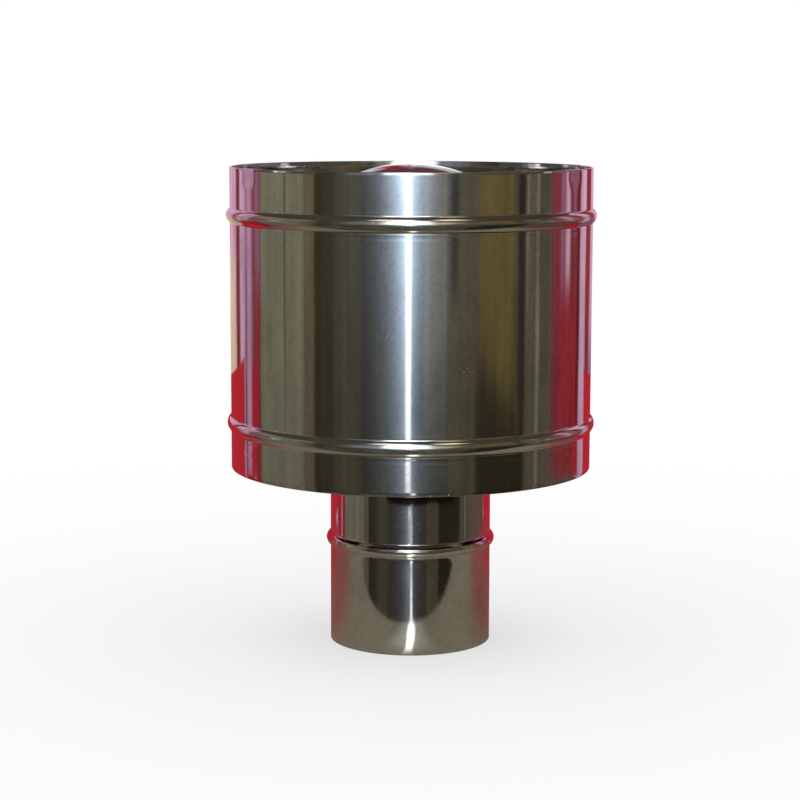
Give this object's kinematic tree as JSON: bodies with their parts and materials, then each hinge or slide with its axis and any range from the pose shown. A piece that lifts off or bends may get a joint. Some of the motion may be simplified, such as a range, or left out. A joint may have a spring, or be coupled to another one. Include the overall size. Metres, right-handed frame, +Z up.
{
  "type": "anti-downdraught cowl",
  "caption": "Static chimney cowl in mirror-finished stainless sheet: a beaded flue pipe and diffuser inside a wide open drum, under a domed rain cap.",
  "frame": {"origin": "centre of the pipe's lower end, on the plane of its edge", "axes": "+Z up the flue's axis, from the spigot to the rain cap; -Y is the front seen in the picture, +X its right-hand side"},
  "size_m": [0.2552, 0.2552, 0.333],
  "materials": {
    "mirror_steel": "mirror-polished stainless sheet",
    "strip_steel": "bright rolled stainless strip",
    "rivet_steel": "satin stainless",
    "mandrel_steel": "dull drawn wire"
  },
  "bodies": {
    "root": {"outer_shell": "mirror_steel", "inlet_pipe": "mirror_steel", "diffuser": "mirror_steel", "rain_cap": "mirror_steel", "deflector_cone": "mirror_steel", "lower_bracket_front_left": "strip_steel", "lower_bracket_front_right": "strip_steel", "lower_bracket_rear": "strip_steel", "upper_bracket_front_left": "strip_steel", "upper_bracket_front_right": "strip_steel", "upper_bracket_rear": "strip_steel", "lower_rivets_front_left": "rivet_steel", "lower_rivets_front_right": "rivet_steel", "lower_rivets_rear": "rivet_steel", "upper_rivets_front_left": "rivet_steel", "upper_rivets_front_right": "rivet_steel", "upper_rivets_rear": "rivet_steel", "collar_rivets": "rivet_steel", "lower_rivet_mandrels": "mandrel_steel", "upper_rivet_mandrels": "mandrel_steel", "collar_rivet_mandrels": "mandrel_steel"}
  },
  "joints": []
}
